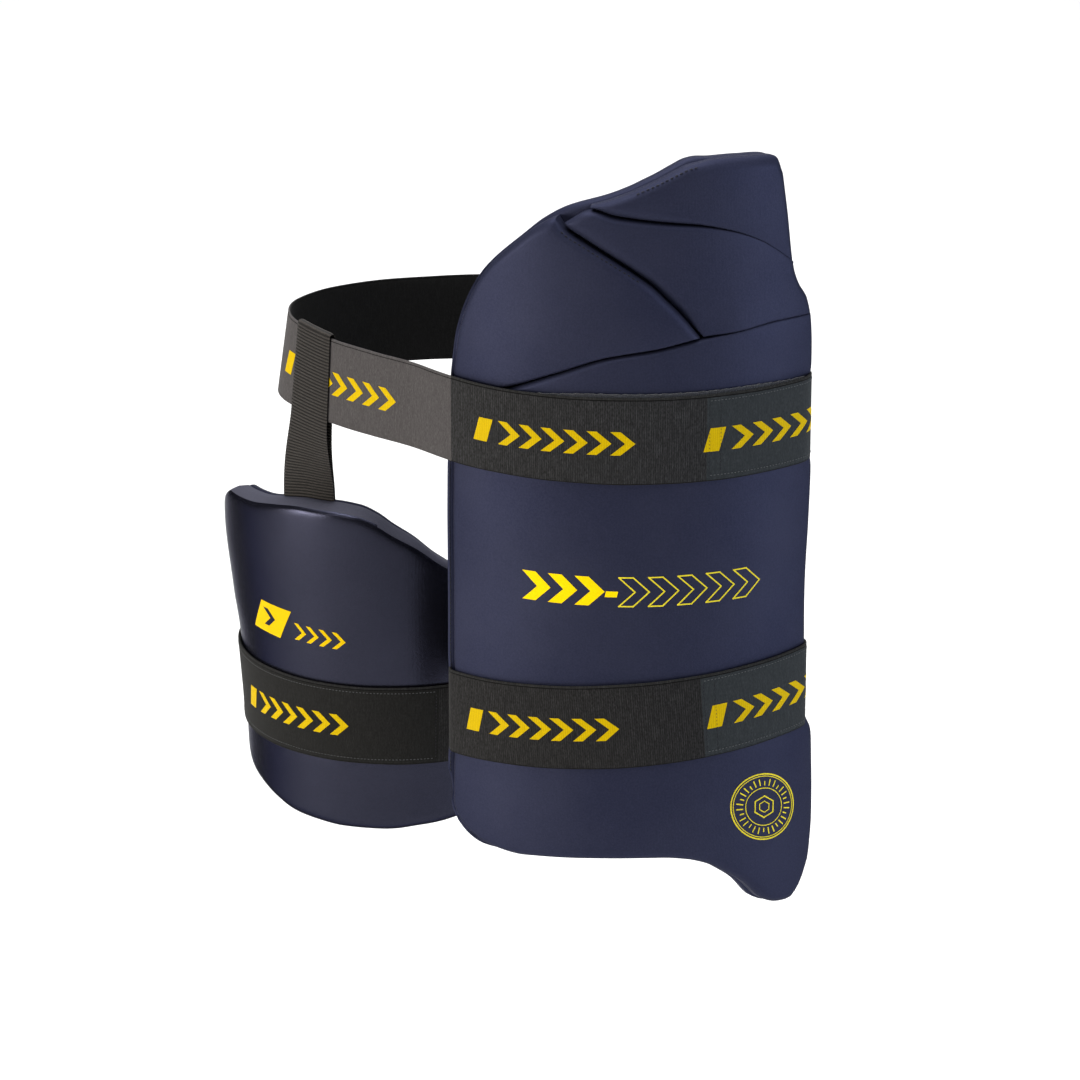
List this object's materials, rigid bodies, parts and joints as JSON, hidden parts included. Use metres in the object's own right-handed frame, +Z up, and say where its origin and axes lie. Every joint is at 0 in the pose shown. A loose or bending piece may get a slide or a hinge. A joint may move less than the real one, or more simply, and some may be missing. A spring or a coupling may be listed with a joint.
{
  "type": "cricket thigh guard",
  "caption": "Pair of padded thigh guards on one elastic waist strap: a tall outer pad with overlapping wings and a short inner pad hung by webbing, each with a thigh strap.",
  "frame": {"origin": "middle of the waist loop, at half the height of the waist strap", "axes": "+Z up along the wearer's body, -Y the way the pads face, +X towards the outer pad"},
  "size_m": [0.3495, 0.3129, 0.4504],
  "materials": {
    "pad_cover": "dark navy satin knit over moulded foam",
    "pad_liner": "dark navy matt liner fabric",
    "elastic": "charcoal ribbed woven elastic",
    "tab": "charcoal elastic with a stitched fastening patch",
    "webbing": "charcoal ribbed webbing",
    "print": "flat yellow print"
  },
  "bodies": {
    "root": {"outer_back_layer": "pad_liner", "outer_body_panel": "pad_cover", "outer_front_wing": "pad_cover", "outer_middle_wing": "pad_cover", "outer_top_wing": "pad_cover", "waist_strap": "elastic", "waist_strap_tab": "tab", "waist_loop_patch": "tab", "outer_thigh_strap": "elastic", "outer_thigh_strap_tab": "tab", "inner_pad": "pad_cover", "inner_back_layer": "pad_liner", "inner_thigh_strap": "elastic", "inner_thigh_strap_tab": "tab", "hanger_webbing": "webbing"}
  },
  "joints": []
}
